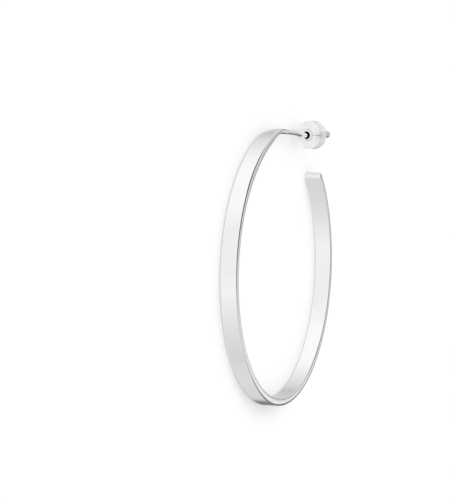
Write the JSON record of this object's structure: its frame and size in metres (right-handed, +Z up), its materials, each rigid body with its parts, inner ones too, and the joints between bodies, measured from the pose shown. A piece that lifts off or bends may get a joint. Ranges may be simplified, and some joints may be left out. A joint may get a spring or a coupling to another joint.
{
  "type": "hoop earring",
  "caption": "Open hoop earring of flat polished band that narrows to a round post, with a clear disc ear back that slides on the post.",
  "frame": {"origin": "under the middle of the earring's box, on the surface that the hoop lies on", "axes": "+Z up, square to the hoop's plane; +Y from the hoop's bottom to its crest; +X the way the post leaves the crest"},
  "size_m": [0.0494, 0.0522, 0.0061],
  "materials": {
    "polished_silver": "mirror-polished silver, light tumbling haze",
    "clear_silicone": "clear moulded silicone, satin",
    "core_metal": "polished pressed metal"
  },
  "bodies": {
    "hoop": {"hoop_with_post": "polished_silver"},
    "ear_back": {"ear_back_disc": "clear_silicone", "ear_back_core": "core_metal"}
  },
  "joints": [
    {"name": "ear_back_slide", "type": "slide", "parent": "hoop", "child": "ear_back", "axis": [0.9751, 0.0785, 0.2073], "range_m": [0, 0.007]}
  ]
}
